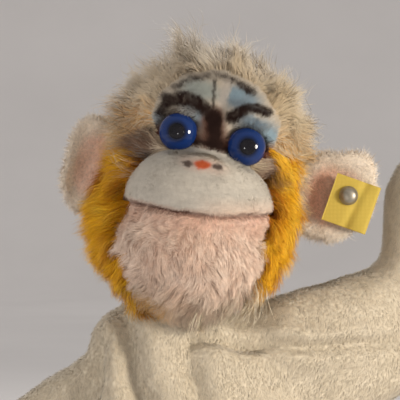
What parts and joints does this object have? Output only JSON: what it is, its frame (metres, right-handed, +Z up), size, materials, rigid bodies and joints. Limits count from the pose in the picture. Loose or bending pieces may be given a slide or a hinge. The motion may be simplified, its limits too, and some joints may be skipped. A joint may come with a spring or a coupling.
{
  "type": "monkey glove puppet",
  "caption": "Monkey glove puppet: stuffed mohair head on a finger tube, plush hand sleeve open at the hem, finger arms, felt ears; head cocked, left arm waving.",
  "frame": {"origin": "centre of the open hem on the ground plane", "axes": "+Z up along the sleeve, -Y the way the face looks, +X to the puppet's own left"},
  "size_m": [0.1602, 0.0668, 0.216],
  "materials": {
    "cream_plush": "short pile",
    "cream_mohair": "long pile",
    "white_velvet": "velvet",
    "painted_velvet": "velvet",
    "pink_mohair": "long pile",
    "gold_mohair": "long pile",
    "pink_felt": "felt",
    "peach_felt": "felt",
    "wood_wool": "packed fibre",
    "grey_card": "matte",
    "cotton_tape": "woven",
    "waxed_cord": "waxed",
    "blue_glass": "polished",
    "black_glass": "polished",
    "steel_wire": "drawn",
    "nickel_steel": "satin",
    "yellow_ribbon": "woven"
  },
  "bodies": {
    "sleeve": {"body_front": "cream_plush", "body_back": "cream_plush", "hem_tape": "cotton_tape"},
    "neck": {"neck_gather": "cream_plush"},
    "collar": {"neck_cord": "waxed_cord"},
    "head": {"head_core": "wood_wool", "neck_tube": "grey_card", "crown_cover": "cream_mohair", "face_mask": "painted_velvet", "muzzle_cover": "white_velvet", "chin_cover": "pink_mohair", "cheek_l": "gold_mohair", "cheek_r": "gold_mohair", "eye_l": "blue_glass", "eye_r": "blue_glass", "pupil_l": "black_glass", "pupil_r": "black_glass", "eye_loop_l": "steel_wire", "eye_loop_r": "steel_wire", "eye_cord": "waxed_cord"},
    "ear_l": {"ear_front_l": "pink_felt", "ear_back_l": "cream_plush", "ear_button": "nickel_steel", "ear_washer": "nickel_steel"},
    "ear_r": {"ear_front_r": "pink_felt", "ear_back_r": "cream_plush"},
    "tag": {"ear_tag": "yellow_ribbon"},
    "arm_l": {"arm_l": "cream_plush"},
    "arm_r": {"arm_r": "cream_plush"},
    "hand_l": {"hand_l": "cream_plush", "palm_pad_l": "peach_felt"},
    "hand_r": {"hand_r": "cream_plush", "palm_pad_r": "peach_felt"}
  },
  "joints": [
    {"name": "head_turn", "type": "hinge", "parent": "sleeve", "child": "neck", "pos_m": [0, 0, 0.15], "axis": [0, 0, 1], "range_deg": [-25, 25], "stiffness_Nm_per_rad": 0.06},
    {"name": "head_tilt", "type": "hinge", "parent": "neck", "child": "collar", "pos_m": [0, 0, 0.15], "axis": [0, 1, 0], "range_deg": [-27, 2], "stiffness_Nm_per_rad": 0.08},
    {"name": "head_nod", "type": "hinge", "parent": "collar", "child": "head", "pos_m": [0, 0, 0.15], "axis": [0.9767, 0, -0.2147], "range_deg": [-15, 12], "stiffness_Nm_per_rad": 0.08},
    {"name": "ear_flop_l", "type": "hinge", "parent": "head", "child": "ear_l", "pos_m": [0.0316, 0.004, 0.18196], "axis": [0.2147, 0, 0.9767], "range_deg": [-20, 20], "stiffness_Nm_per_rad": 0.002},
    {"name": "ear_flop_r", "type": "hinge", "parent": "head", "child": "ear_r", "pos_m": [-0.01532, 0.004, 0.18695], "axis": [0.2147, 0, 0.9767], "range_deg": [-20, 20], "stiffness_Nm_per_rad": 0.002},
    {"name": "tag_swing", "type": "hinge", "parent": "ear_l", "child": "tag", "pos_m": [0.04546, 0.004, 0.18024], "axis": [0, 1, 0], "range_deg": [-12, 12], "stiffness_Nm_per_rad": 0.0005},
    {"name": "shoulder_swing_l", "type": "hinge", "parent": "sleeve", "child": "arm_l", "pos_m": [0.027, 0, 0.138], "axis": [0, 0, -1], "range_deg": [-10, 35], "stiffness_Nm_per_rad": 0.01},
    {"name": "shoulder_swing_r", "type": "hinge", "parent": "sleeve", "child": "arm_r", "pos_m": [-0.026, 0, 0.121], "axis": [0, 0, 1], "range_deg": [-10, 35], "stiffness_Nm_per_rad": 0.01},
    {"name": "elbow_wave_l", "type": "hinge", "parent": "arm_l", "child": "hand_l", "pos_m": [0.065, 0.013, 0.1485], "axis": [0.3321, -0.9426, -0.0349], "range_deg": [-60, 4], "stiffness_Nm_per_rad": 0.02},
    {"name": "elbow_wave_r", "type": "hinge", "parent": "arm_r", "child": "hand_r", "pos_m": [-0.05105, -0.004, 0.103], "axis": [0, 1, 0], "range_deg": [-5, 60], "stiffness_Nm_per_rad": 0.02}
  ]
}
